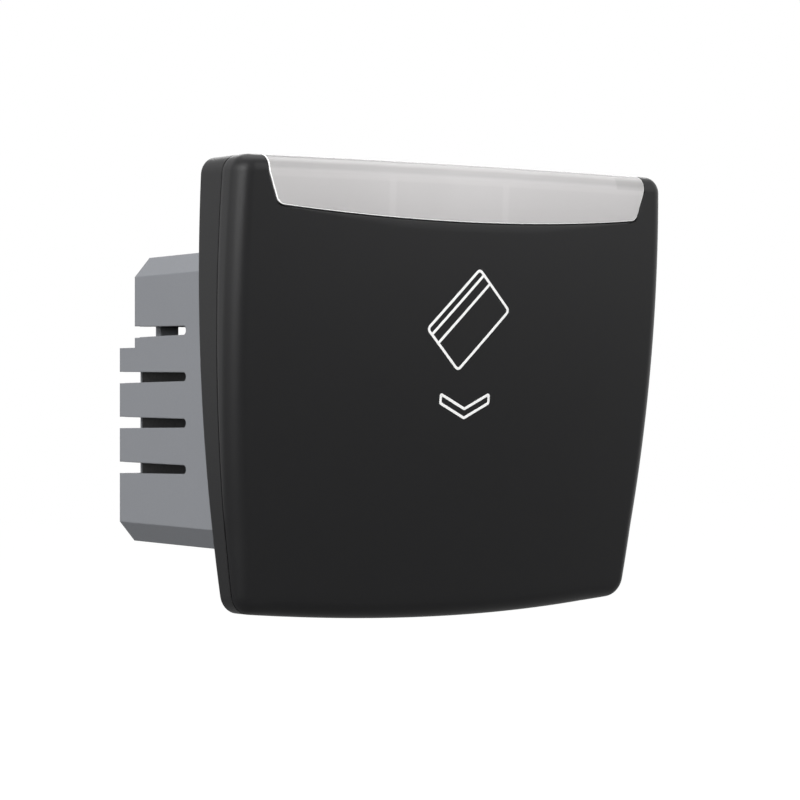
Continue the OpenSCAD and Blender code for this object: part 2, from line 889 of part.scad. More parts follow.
// Fixed contact strips, from the contact down into the terminal cage
module contact_strip(x) {
    color("#c8813f")
        block(
            [x - strip_w / 2, strip_front, cage_high - strip_dip],
            [x + strip_w / 2, strip_rear, plunger_z + strip_w / 2]
        );
}
module line_strip() {
    contact_strip(-contact_x);
}
module load_strip() {
    contact_strip(contact_x);
}
// Strips from the outer terminals to the lamp board
pad_h = 1.4;
pad_high = board_low + pad_h;
module lamp_strip(x) {
    board_rear = board_y + board_t;
    x0 = x - side_strip_w / 2;
    x1 = x + side_strip_w / 2;
    color("#c8a24a")
        union() {
            block([x0, strip_front, cage_high - strip_dip], [x1, strip_rear, side_strip_z]);
            block([x0, board_rear, side_strip_z - strip_t], [x1, strip_rear, side_strip_z]);
            block([x0, board_rear, side_strip_z - strip_t], [x1, board_rear + strip_t, pad_high]);
        }
}
module neutral_strip() {
    lamp_strip(-3 * contact_x);
}
module pilot_strip() {
    lamp_strip(3 * contact_x);
}

module terminal_cages() {
    color("#c9a646")
        for (x = terminal_xs)
            difference() {
                block([x - cage_w / 2, cage_front, cage_low], [x + cage_w / 2, cage_rear, cage_high]);
                translate([x, wire_y, cage_low - 1])
                    cylinder(d = wire_d, h = cage_high - cage_low + 2);
                rod_y(terminal_screw_d + 2 * run_clear, wire_y, cage_rear + 1, x, terminal_z);
                block(
                    [x - strip_w / 2 - part_gap, strip_front - part_gap, cage_high - strip_dip - part_gap],
                    [x + strip_w / 2 + part_gap, strip_rear + part_gap, cage_high + 1]
                );
            }
}

cross_w = 0.8;
cross_depth = 1;
// Screw along Y with a flat driving slot and a cross slot in its head
module screw_y(x, z, tip, seat, d, wide, tall) {
    difference() {
        union() {
            rod_y(d, tip, seat + eps, x, z);
            rod_y(wide, seat, seat + tall, x, z);
        }
        for (turn = [0, 90])
            translate([x, seat + tall, z])
                rotate([0, turn, 0])
                    cube([0.7 * wide, 2 * cross_depth, cross_w], center = true);
    }
}
module terminal_screws() {
    color("#b8bcc2")
        for (x = terminal_xs)
            screw_y(
                x, terminal_z, wire_y + wire_d / 2 + seat_gap, cage_rear + seat_gap,
                terminal_screw_d, terminal_head_d, terminal_head_h
            );
}
module case_screws() {
    color("#b8bcc2")
        both_sides()
            for (p = screw_places)
                screw_y(p.x, p.y, thread_from, p.z - head_sink, case_screw_d, head_d, head_h);
}

module led_board() {
    color("#2f6b3a")
        difference() {
            intersection() {
                block([-case_w, board_y, board_low], [case_w, board_y + board_t, case_h]);
                case_box(case_wall + free_gap, 0, 2 * boss_y);
            }
            both_sides() {
                rod_y(board_screw_d + 2 * part_gap, 0, 2 * boss_y, board_screw_x, board_screw_z);
                rod_y(boss_d + 2 * part_gap, 0, 2 * boss_y, screw_places[0].x, screw_places[0].y);
            }
        }
}
// A board component standing in front of or behind the lamp board
module on_board(size, x, y, z) {
    block([x - size.x / 2, y, z - size.z / 2], [x + size.x / 2, y + size.y, z + size.z / 2]);
}
module leds() {
    color("#f4f1d8")
        both_sides()
            on_board(led_size, lamp_x, board_y - led_size.y, (pipe_z0 + pipe_z1) / 2);
}
module led_resistors() {
    color("#3a3a3c")
        for (x = resistor_xs)
            on_board(resistor_size, x, board_y + board_t, resistor_z);
}
module rectifier() {
    color("#222224")
        on_board(rectifier_size, 0, board_y + board_t, board_screw_z);
}
board_head_d = 4;
board_head_h = 1.4;
module board_screws() {
    color("#b8bcc2")
        both_sides()
            screw_y(
                board_screw_x, board_screw_z, 0, board_y + board_t,
                board_screw_d, board_head_d, board_head_h
            );
}

front_cover();
light_bar();
rear_frame();
rear_case();
contact_block();
contact_base();
card_lever();
lever_pin();
plunger();
return_spring();
contact_bridge();
bridge_tips();
contact_spring();
stem_clip();
line_strip();
load_strip();
fixed_tips();
neutral_strip();
pilot_strip();
terminal_cages();
terminal_screws();
case_screws();
led_board();
leds();
led_resistors();
rectifier();
board_screws();
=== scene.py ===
import math

import bpy
import numpy as np
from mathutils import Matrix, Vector


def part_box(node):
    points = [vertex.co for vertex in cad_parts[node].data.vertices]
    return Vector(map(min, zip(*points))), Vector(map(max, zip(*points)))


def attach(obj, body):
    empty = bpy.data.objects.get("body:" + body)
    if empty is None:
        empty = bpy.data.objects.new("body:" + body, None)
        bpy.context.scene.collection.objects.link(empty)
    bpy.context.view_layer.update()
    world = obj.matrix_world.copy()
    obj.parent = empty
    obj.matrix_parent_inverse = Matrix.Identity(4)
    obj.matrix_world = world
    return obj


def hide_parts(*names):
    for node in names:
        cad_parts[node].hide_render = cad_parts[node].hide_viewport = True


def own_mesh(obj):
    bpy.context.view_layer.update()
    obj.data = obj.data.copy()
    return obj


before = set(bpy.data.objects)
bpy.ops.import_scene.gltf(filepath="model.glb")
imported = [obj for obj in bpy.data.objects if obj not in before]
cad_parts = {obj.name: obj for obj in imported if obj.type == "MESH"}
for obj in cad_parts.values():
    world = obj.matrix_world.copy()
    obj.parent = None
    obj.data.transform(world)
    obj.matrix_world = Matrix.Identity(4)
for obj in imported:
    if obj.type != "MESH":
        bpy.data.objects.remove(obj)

bl_info = {
    "name": "Hotel key card switch",
    "version": (1, 0, 0),
    "blender": (4, 5, 0),
    "location": "3D View > Sidebar > Card switch",
    "description": "Dresses a wall switch worked by a key card with its mouldings, print and finishes",
    "category": "Object",
}

MM = 0.001
# joint between the cover and the frame
PARTING_GAP = 0.04 * MM
# least height of the cover's side under its rounded edge
LEAST_SIDE = 0.4 * MM
# least rounding inside the cover's edge
LEAST_INNER_EDGE = 0.3 * MM


def size(name, description, mm):
    """A length property whose default is given in millimetres."""
    return bpy.props.FloatProperty(
        name=name, description=description, default=mm * MM, unit="LENGTH", precision=5
    )


def colour(name, description, hex_value):
    """A colour property whose default is an sRGB hex value."""
    return bpy.props.FloatVectorProperty(
        name=name, description=description, default=linear(hex_value), size=4, min=0, max=1, subtype="COLOR"
    )


def linear(hex_value):
    """Linear RGBA of an sRGB hex value such as 8a8c90."""
    parts = np.array([int(hex_value[i:i + 2], 16) / 255 for i in (0, 2, 4)])
    parts = np.where(parts <= 0.04045, parts / 12.92, ((parts + 0.055) / 1.055) ** 2.4)
    return (*(float(p) for p in parts), 1.0)


class CardSwitchCover(bpy.types.PropertyGroup):
    """Sizes of the cover's outline, front and rounded edge."""

    width: size("Width", "Width at the widest height", 82.4)
    widest: size("Widest height", "Height of the widest place above the centre", 18.35)
    side_radius: size("Side radius", "Radius of the bowed sides", 302)
    top: size("Top", "Top edge above the centre", 35.8)
    foot: size("Foot", "Lowest point of the foot below the centre", 33.3)
    foot_radius: size("Foot radius", "Radius of the bowed foot", 370)
    top_corner: size("Top corner", "Corner radius at the top", 2.8)
    foot_corner: size("Foot corner", "Corner radius at the foot", 3.2)
    edge_radius: size("Edge radius", "Radius of the rounded front edge", 2.5)
    edge_depth: size("Edge depth", "Depth of the front edge at centre height", 7.73)
    bulge: size("Bulge", "Extra depth in the middle of the front", 2.87)
    lean_radius: size("Lean radius", "Radius of the front's bow from foot to top", 704)
    lean: bpy.props.FloatProperty(
        name="Lean", description="Forward lean for each unit of height", default=0.0975
    )
    wall: size("Wall", "Wall thickness", 1.8)
    parting: size("Parting depth", "Depth of the parting line at centre height", 4.14)
    parting_lean: bpy.props.FloatProperty(
        name="Parting lean", description="Lean of the parting line for each unit of height", default=0.044
    )
    break_radius: size("Edge break", "Rounding of the edges along the joints", 0.22)


class CardSwitchBar(bpy.types.PropertyGroup):
    """Sizes of the light bar along the top of the cover."""

    low: size("Lower edge", "Lowest point of the lower edge above the centre", 26.93)
    bow_radius: size("Bow radius", "Radius of the bowed lower edge", 370)
    foot_width: size("Foot width", "Width at the lower corners", 68.6)
    top_width: size("Top width", "Width at the top", 72)
    end_height: size("End height", "Height of the straight upper ends", 2.4)
    corner: size("Corner", "Radius of the lower corners", 1.6)
    back: size("Rear face", "Depth of the rear face from the wall", 7)
    edge: size("Edge", "Rounding of the front edges", 0.15)
    gap: size("Gap", "Joint between the bar and the cover", 0.1)
    pipe_inner: size("Pipe", "Inner face of the light pipes from the centre", 29.4)
    pipe_width: size("Pipe width", "Width of the light pipes", 1.9)
    pipe_thick: size("Pipe thickness", "Thickness of the light pipes", 2.6)
    rib_place: size("Rib place", "Distance of the rear ribs from the middle", 10.6)
    rib_width: size("Rib width", "Width of the rear ribs", 0.8)
    rib_height: size("Rib height", "Height of the rear ribs", 0.5)
    mouth: size("Mouth", "Half width of the card's mouth", 28)
    tab: size("Tab", "Width of the tabs that close the top beside the mouth", 4.4)
    tab_height: size("Tab height", "Height of those tabs", 2)


class CardSwitchPrint(bpy.types.PropertyGroup):
    """Sizes of the printed card sign and arrow."""

    card_length: size("Card length", "Length of the card sign", 13.1)
    card_width: size("Card width", "Width of the card sign", 8.65)
    card_corner: size("Card corner", "Corner radius of the card sign", 0.6)
    card_height: size("Card height", "Centre of the card sign above the centre", 12.2)
    card_turn: bpy.props.FloatProperty(
        name="Card turn", description="Turn of the card sign", default=math.radians(44.4), subtype="ANGLE"
    )
    stripe_inset: size("Stripe", "First stripe line from the card's edge", 1.19)
    stripe_width: size("Stripe width", "Distance of the second stripe line from the first", 1.79)
    arrow_half: size("Arrow half width", "Half width of the arrow", 4.6)
    arrow_top: size("Arrow top", "Upper corners of the arrow above the centre", 0.88)
    arrow_drop: size("Arrow drop", "Fall of the arrow from its ends to its middle", 2.24)
    arrow_band: size("Arrow band", "Height of the arrow's band", 1.38)
    line: size("Line", "Width of the printed lines", 0.45)
    ink: size("Ink", "Thickness of the ink", 0.02)


class CardSwitchSpring(bpy.types.PropertyGroup):
    """Sizes of the return spring; its length and width are the CAD node's."""

    wire: size("Wire", "Thickness of the wire", 0.6)
    gap: size("Gap", "Gap between the turns", 0.5)


class CardSwitchFinish(bpy.types.PropertyGroup):
    """Colours of the mouldings, the print and the lamp board."""

    cover: colour("Cover", "Black ABS of the cover and the frame", "171718")
    case: colour("Case", "Grey moulding of the case", "74767a")
    bar: colour("Light bar", "Frosted light bar", "d0cece")
    ink: colour("Ink", "White ink of the signs", "fbfbfa")
    block: colour("Block", "Black moulding of the contact block", "141415")
    lever: colour("Lever", "White moulding of the lever", "e4e2dc")
    plunger: colour("Plunger", "Cream moulding of the plunger", "d8d2c0")
    mask: colour("Mask", "Green solder mask of the lamp board", "1f5a30")


def quarter_turn(count):
    """Angles at even steps over a right angle."""
    return np.linspace(0, math.pi / 2, count)


def lengths(line):
    """Distance along a polyline from its start to each of its points."""
    return np.concatenate([[0], np.cumsum(np.linalg.norm(np.diff(line, axis=0), axis=1))])


def arc(centre, radius, start, stop, count):
    """Points on a circle from one heading to another, and the outward headings there."""
    heading = np.linspace(start, stop, count)
    spot = np.asarray(centre) + radius * np.stack([np.cos(heading), np.sin(heading)], 1)
    return spot, heading


def crossing(a, ra, b, rb):
    """The lower right point where two circles cross, from their centres and radii."""
    gap = np.asarray(b) - a
    far = np.hypot(*gap)
    along = (far * far + ra * ra - rb * rb) / (2 * far)
    up = math.sqrt(ra * ra - along * along)
    ahead = gap / far
    return a + along * ahead + up * np.array([ahead[1], -ahead[0]])


def half_outline(c, start):
    """Right half of the cover's front view, from x = start on the top edge round to the middle of the foot.

    A straight top, a corner circle, a side circle, a second corner circle and the foot circle, each tangent
    to the next, with closer points beside the bar. Returns points in X and Z and the outward headings.
    """
    beside_bar = 10 * MM
    half = c.width / 2
    side = np.array([half - c.side_radius, c.widest])
    foot = np.array([0, c.foot_radius - c.foot])
    high = c.top - c.top_corner
    out = math.sqrt((c.side_radius - c.top_corner) ** 2 - (high - c.widest) ** 2)
    top = np.array([side[0] + out, high])
    low = crossing(side, c.side_radius - c.foot_corner, foot, c.foot_radius - c.foot_corner)
    side_from, side_to = (math.atan2(*(p - side)[::-1]) for p in (top, low))
    foot_from = math.atan2(*(low - foot)[::-1])
    beside = math.asin((c.top - beside_bar - c.widest) / c.side_radius)
    straight = np.linspace(start, top[0], 9)[:-1]
    up = np.full_like(straight, math.pi / 2)
    first = arc(top, c.top_corner, math.pi / 2, side_from, 20)
    others = [
        arc(side, c.side_radius, side_from, beside, 44),
        arc(side, c.side_radius, beside, side_to, 64),
        arc(low, c.foot_corner, side_to, foot_from, 18),
        arc(foot, c.foot_radius, foot_from, -math.pi / 2, 48),
    ]
    run = np.stack([straight, np.full_like(straight, c.top)], 1)
    spot = np.concatenate([run, first[0], *(p[1:] for p, _ in others)])
    heading = np.concatenate([up, first[1], *(h[1:] for _, h in others)])
    return spot, heading


def front_depth(c, x, z):
    """Depth of the front: a base depth, a lean and a bow with height, and a bulge.

    The bulge fades with the square of x, to nothing at half the width.
    """
    bulge = c.bulge * (1 - (x / (c.width / 2)) ** 2)
    return c.edge_depth + c.lean * z - z * z / (2 * c.lean_radius) + bulge


def parting_depth(c, z):
    """Depth of the joint between the cover and the frame, a plane that leans with height."""
    return c.parting + c.parting_lean * z


def edge_limit(c, spot, heading):
    """Radius of the rounded edge, less where the side wall is low."""
    inner = spot - c.edge_radius * np.stack([np.cos(heading), np.sin(heading)], 1)
    room = front_depth(c, inner[:, 0], inner[:, 1]) - parting_depth(c, spot[:, 1]) - LEAST_SIDE
    return np.minimum(c.edge_radius, room)


def unit(vectors):
    """Vectors of the same headings with a length of 1."""
    return vectors / np.linalg.norm(vectors, axis=1, keepdims=True)


def rounded_path(corners, radius, closed, step, arc_points=13):
    """A polyline whose corners are turned into arcs of one radius, resampled to even steps.

    Each arc swings from its start to its stop by the sines of the angles still to go and already gone.
    """
    corners = np.asarray(corners, float)
    a = unit(np.roll(corners, 1, 0) - corners)
    b = unit(np.roll(corners, -1, 0) - corners)
    half = np.arccos(np.clip((a * b).sum(1), -1, 1)) / 2
    back = (radius / np.tan(half))[:, None]
    centre = corners + unit(a + b) * (radius / np.sin(half))[:, None]
    start = corners + a * back - centre
    stop = corners + b * back - centre
    share = np.linspace(0, 1, arc_points)[None, :, None]
    sweep = (math.pi - 2 * half)[:, None, None]
    turn = np.sin((1 - share) * sweep) * start[:, None] + np.sin(share * sweep) * stop[:, None]
    arcs = centre[:, None] + turn / np.sin(sweep)
    if closed:
        line = arcs.reshape(-1, 2)
        line = np.concatenate([line, line[:1]])
    else:
        line = np.concatenate([corners[:1], arcs[1:-1].reshape(-1, 2), corners[-1:]])
    return resample(line, step)


def resample(line, step):
    """Points at even steps along a polyline."""
    far = lengths(line)
    at = np.linspace(0, far[-1], max(int(round(far[-1] / step)), 2) + 1)
    return np.stack([np.interp(at, far, line[:, k]) for k in range(2)], 1)


def at_share(line, share):
    """Points of a polyline at the given shares of its length."""
    far = lengths(line)
    return np.stack([np.interp(share * far[-1], far, line[:, k]) for k in range(2)], 1)


def bar_low(b, x):
    """Height of the bar's bowed lower edge at x, a parabola of the bow's radius."""
    return b.low + x * x / (2 * b.bow_radius)


def bar_end(c, b, grow):
    """Right end of the bar's front view: from the bowed foot round the corner, up the slant and up."""
    step = 0.1 * MM
    foot = b.foot_width / 2 + grow
    top = b.top_width / 2 + grow
    start = foot - 2 * b.corner
    return rounded_path(
        [
            [start, bar_low(b, start) - grow],
            [foot, bar_low(b, foot) - grow],
            [top, c.top - b.end_height],
            [top, c.top],
        ],
        b.corner, False, step,
    )


def to_space(x, z, depth):
    """Points of the object from places in the front view and depths in front of the wall."""
    return np.stack(np.broadcast_arrays(x, -depth, z), -1)


def grid_faces(rows, columns, wrap_rows=False, wrap_columns=False):
    """Quads of a grid of points numbered row by row."""
    r = np.arange(rows if wrap_rows else rows - 1)[:, None]
    k = np.arange(columns if wrap_columns else columns - 1)[None, :]
    row, next_row = r * columns, (r + 1) % rows * columns
    next_k = (k + 1) % columns
    corners = row + k, row + next_k, next_row + next_k, next_row + k
    return np.stack(np.broadcast_arrays(*corners), -1).reshape(-1, 4)


def tube(points, endless=False):
    """Closed loops of points in a row, joined by quads.

    An endless row joins its last loop to its first, and any other has an end face on both.
    """
    rows, loop = points.shape[:2]
    first = np.arange(loop)
    ends = [] if endless else [first[::-1], first + (rows - 1) * loop]
    return points, grid_faces(rows, loop, wrap_rows=endless, wrap_columns=True), ends


def add_mesh(name, pieces, sharp_degrees=35):
    """A new object at the origin from pieces of points, quads and end faces, smooth except at sharp edges."""
    points = np.concatenate([spots.reshape(-1, 3) for spots, _, _ in pieces])
    faces = []
    start = 0
    for spots, quads, ends in pieces:
        faces += (quads + start).tolist()
        faces += [(end + start).tolist() for end in ends]
        start += spots.size // 3
    mesh = bpy.data.meshes.new(name)
    mesh.from_pydata(points.tolist(), [], faces)
    mesh.polygons.foreach_set("use_smooth", np.ones(len(mesh.polygons), bool))
    mesh.set_sharp_from_angle(angle=math.radians(sharp_degrees))
    mesh.validate()
    obj = bpy.data.objects.new(name, mesh)
    bpy.context.scene.collection.objects.link(obj)
    return obj


def prism(profile, low, high):
    """A side view in depth and Z drawn out along X, closed at both ends."""
    profile = np.asarray(profile, float)
    n = len(profile)
    points = np.concatenate([to_space(np.full(n, x), profile[:, 1], profile[:, 0]) for x in (low, high)])
    k = np.arange(n)
    after = (k + 1) % n
    return points, np.stack([k, after, after + n, k + n], 1), [k[::-1], k + n]


def cover_shell(c, b):
    """The cover as a profile carried round three sides of its outline.

    At each station the closed profile runs from the parting edge up the side, round the edge, straight in
    the front view to the bar's opening, and back along the inside of the wall. Every front point's depth
    comes from front_depth, and the inner wall lies one wall thickness behind it. The opening has a point for
    each station: its end for those above the bar's lower corner, and its bowed foot for the others.
    """
    below_edge = 0.1 * MM
    inside_bar = [0, b.low + 4 * MM]
    spot, heading = half_outline(c, b.top_width / 2 + b.gap)
    run = lengths(spot)
    end = bar_end(c, b, b.gap)
    end = end[end[:, 1] < c.top - c.edge_radius - below_edge]
    corner_z = bar_low(b, b.foot_width / 2)
    turn_at = np.interp(-corner_z, -spot[:, 1], run)
    arc_x = np.linspace(end[0, 0], 0, 80)
    arc_line = np.stack([arc_x, bar_low(b, arc_x) - b.gap], 1)
    share = np.clip(run / turn_at, 0, 1)
    rest = np.clip((run - turn_at) / (run[-1] - turn_at), 0, 1)
    inner = np.where((run < turn_at)[:, None], at_share(end[::-1], share), at_share(arc_line, rest))

    spot, inner = (np.concatenate([p, (p * [-1, 1])[-2::-1]]) for p in (spot, inner))
    heading = np.concatenate([heading, math.pi - heading[-2::-1]])
    out = np.stack([np.cos(heading), np.sin(heading)], 1)
    radius = edge_limit(c, spot, heading)
    along = unit(np.gradient(inner, axis=0))
    away = np.stack([along[:, 1], -along[:, 0]], 1)
    away *= np.sign((away * (inner - inside_bar)).sum(1))[:, None]

    def ring(place, depth):
        return to_space(place[:, 0], place[:, 1], depth)

    def front(place):
        return front_depth(c, place[:, 0], place[:, 1])

    e = c.break_radius
    back = parting_depth(c, spot[:, 1]) + PARTING_GAP
    rings = []
    # broken edge along the parting line, then the side up to its shoulder
    for t in quarter_turn(4):
        rings.append(ring(spot - out * (e * (1 - math.sin(t))), back + e * (1 - math.cos(t))))
    shoulder = front(spot) - radius
    for s in (0.33, 0.66):
        rings.append(ring(spot, back + e + (shoulder - back - e) * s))
    # rounded front edge
    for t in quarter_turn(13):
        place = spot - out * (radius * (1 - math.cos(t)))[:, None]
        rings.append(ring(place, front(place) - radius * (1 - math.sin(t))))
    # front, and the broken edge along the bar's opening
    edge = spot - out * radius[:, None]
    lip = inner + away * e
    for s in np.linspace(0, 1, 46)[1:]:
        place = edge + (lip - edge) * s
        rings.append(ring(place, front(place)))
    for t in quarter_turn(5)[1:]:
        place = lip - away * (e * math.sin(t))
        rings.append(ring(place, front(place) - e * (1 - math.cos(t))))
    # inside of the front, inner rounding and inside of the side
    under = np.maximum(radius - c.wall, LEAST_INNER_EDGE)
    inside = spot - out * (c.wall + under)[:, None]
    for s in np.linspace(0, 1, 14):
        place = inner + (inside - inner) * s
        rings.append(ring(place, front(place) - c.wall))
    for t in quarter_turn(4)[-2::-1]:
        place = spot - out * (c.wall + under * (1 - math.cos(t)))[:, None]
        rings.append(ring(place, front(place) - c.wall - under * (1 - math.sin(t))))
    rings.append(ring(spot - out * c.wall, back))
    return tube(np.stack(rings, 1))


def bar_shell(c, b):
    """The light bar as a front sheet and a rear sheet on one grid, closed round the rim.

    Each row runs from end to end at the height that the end's outline has there. The lower edge's bow fades
    out towards the straight top. The front's depth falls off as a quarter circle near the rim and the top
    edge. Rows and columns lie closer round the lower corners, at the top edge and near the ends. Returns the
    points, the faces and which faces belong to the rounded rim.
    """
    off_bow = 0.01 * MM
    close_from = 0.92
    corner_run = 1.4 * b.corner
    rim_reach = 0.9 * b.edge
    end = bar_end(c, b, 0)
    far = lengths(end)
    bend = far[np.argmax(end[:, 1] > bar_low(b, end[:, 0]) + off_bow)]
    past = bend + corner_run
    rows = np.unique(np.concatenate([
        np.linspace(bend, past, 26),
        np.linspace(past, far[-1] - c.edge_radius, 36),
        far[-1] - c.edge_radius * (1 - np.sin(quarter_turn(14))),
    ]))
    wide = np.interp(rows, far, end[:, 0])
    high = np.interp(rows, far, end[:, 1])
    inset = b.edge / (b.top_width / 2) * (1 - np.cos(quarter_turn(6)))
    half = np.unique(np.concatenate([
        np.linspace(0, close_from, 46), np.linspace(close_from, 1 - inset[-1], 28), 1 - inset
    ]))
    across = np.concatenate([-half[:0:-1], half])
    x = across[None, :] * wide[:, None]
    fade = np.clip((c.top - high) / (c.top - high[0]), 0, 1)[:, None]
    z = high[:, None] + fade * (bar_low(b, x) - bar_low(b, wide)[:, None])

    low_x = np.linspace(0, end[0, 0], 160)
    rim = np.concatenate([np.stack([low_x, bar_low(b, low_x)], 1), end])
    aside = np.abs(x).ravel()[:, None] - rim[:, 0]
    above = z.ravel()[:, None] - rim[:, 1]
    reach = np.sqrt((aside ** 2 + above ** 2).min(1))
    reach = np.minimum(reach, b.edge).reshape(x.shape)
    reach[-1] = b.edge
    drop = b.edge - np.sqrt(b.edge ** 2 - (b.edge - reach) ** 2)
    below = np.minimum(c.top - z, c.edge_radius)
    fall = c.edge_radius - np.sqrt(np.maximum(c.edge_radius ** 2 - (c.edge_radius - below) ** 2, 0))
    face = to_space(x, z, front_depth(c, x, z) - drop - fall)
    rear = to_space(x, z, np.full_like(x, b.back))

    n, m = x.shape
    quads = grid_faces(n, m)
    ring = np.concatenate([
        np.arange(m), np.arange(1, n) * m + m - 1,
        (n - 1) * m + np.arange(m - 2, -1, -1), np.arange(n - 2, 0, -1) * m,
    ])
    after = np.roll(ring, -1)
    wall = np.stack([after, ring, ring + n * m, after + n * m], 1)
    rim_face = reach.ravel()[quads].mean(1) < rim_reach
    points = np.concatenate([face.reshape(-1, 3), rear.reshape(-1, 3)])
    faces = np.concatenate([quads, quads[:, ::-1] + n * m, wall])
    return points, faces, np.concatenate([rim_face, np.zeros(len(quads) + len(wall), bool)])


def ink_line(c, path, closed, width, thick):
    """A printed line: a flat band of one width along a path on the front, its edges sunk into the surface."""
    if closed:
        path = path[:-1]
        along = unit(np.roll(path, -1, 0) - np.roll(path, 1, 0))
    else:
        along = unit(np.gradient(path, axis=0))
    side = np.stack([-along[:, 1], along[:, 0]], 1) * width / 2
    flat = 0.9
    rings = []
    for across, rise in ((1, -thick), (flat, thick), (-flat, thick), (-1, -thick)):
        x, z = (path + side * across).T
        rings.append(to_space(x, z, front_depth(c, x, z) + rise))
    return tube(np.stack(rings, 1), closed)


def coil(s, low, high):
    """A wire wound along Y in the box between two corners: a circle carried along a helix.

    The helix leaves half the wire to the box all round, and has as many turns as the gap allows.
    """
    half = s.wire / 2
    length = high[1] - low[1] - s.wire
    turn = np.linspace(0, 2 * math.pi * length / (s.wire + s.gap), 110)[:, None]
    round_wire = np.linspace(0, 2 * math.pi, 14, endpoint=False)[None, :]
    out = (high[0] - low[0]) / 2 - half + half * np.cos(round_wire)
    points = np.stack([
        (low[0] + high[0]) / 2 + out * np.cos(turn),
        low[1] + half + length * turn / turn[-1] + half * np.sin(round_wire),
        (low[2] + high[2]) / 2 + out * np.sin(turn),
    ], -1)
    return tube(points)


def add_node(tree, kind, inputs=None, **settings):
    """Adds a node, sets its options, and sets or links each named input."""
    node = tree.nodes.new(kind)
    for key, value in settings.items():
        setattr(node, key, value)
    for key, value in (inputs or {}).items():
        if isinstance(value, bpy.types.NodeSocket):
            tree.links.new(value, node.inputs[key])
        else:
            node.inputs[key].default_value = value
    return node


def shaded(rgba, factor):
    """A colour made lighter or darker."""
    return (*(min(v * factor, 1.0) for v in rgba[:3]), 1.0)


def new_material(name):
    """An empty node material, its node tree and its output node."""
    material = bpy.data.materials.new(name)
    material.use_nodes = True
    tree = material.node_tree
    tree.nodes.clear()
    return material, tree, add_node(tree, "ShaderNodeOutputMaterial")


def moulded(name, rgba, rough, grain, grain_depth, soft_edge, cloud=12, spread=0.05, **shader):
    """Injection moulding: a fine spark-eroded grain, slow changes of tone and gloss, and slightly soft edges.

    grain, grain_depth, soft_edge and cloud are in millimetres. The grain is drawn about three times as coarse
    as a real mould's, so that it shows.
    """
    material, tree, output = new_material(name)
    place = add_node(tree, "ShaderNodeTexCoord").outputs["Object"]
    broad = add_node(tree, "ShaderNodeTexNoise", {
        "Vector": place, "Scale": 1 / (cloud * MM), "Detail": 3.0, "Roughness": 0.55
    }).outputs["Fac"]
    fine = add_node(tree, "ShaderNodeTexNoise", {
        "Vector": place, "Scale": 1 / (grain * MM), "Detail": 2.0, "Roughness": 0.6
    }).outputs["Fac"]
    tone = add_node(tree, "ShaderNodeMix", {
        "Factor": broad, "A": shaded(rgba, 1 - spread), "B": shaded(rgba, 1 + spread)
    }, data_type="RGBA")
    gloss = add_node(tree, "ShaderNodeMapRange", {
        "Value": fine, "From Min": 0.3, "From Max": 0.7, "To Min": rough - 0.05, "To Max": rough + 0.05
    }).outputs["Result"]
    edge = add_node(tree, "ShaderNodeBevel", {"Radius": soft_edge * MM}, samples=6).outputs["Normal"]
    bump = add_node(tree, "ShaderNodeBump", {
        "Height": fine, "Strength": 0.5, "Distance": grain_depth * MM, "Normal": edge
    }).outputs["Normal"]
    surface = add_node(tree, "ShaderNodeBsdfPrincipled", {
        "Base Color": tone.outputs[2], "Roughness": gloss, "Normal": bump, **shader
    })
    tree.links.new(surface.outputs["BSDF"], output.inputs["Surface"])
    return material


def band(tree, value, middle, half, soft):
    """1 where a value is within half of the middle, falling smoothly to 0 over a soft edge.

    middle, half and soft are in millimetres.
    """
    off = add_node(tree, "ShaderNodeMath", {0: value, 1: middle * MM}, operation="SUBTRACT").outputs[0]
    off = add_node(tree, "ShaderNodeMath", {0: off}, operation="ABSOLUTE").outputs[0]
    return add_node(tree, "ShaderNodeMapRange", {
        "Value": off, "From Min": half * MM, "From Max": (half + soft) * MM, "To Min": 1.0, "To Max": 0.0
    }, interpolation_type="SMOOTHSTEP").outputs["Result"]


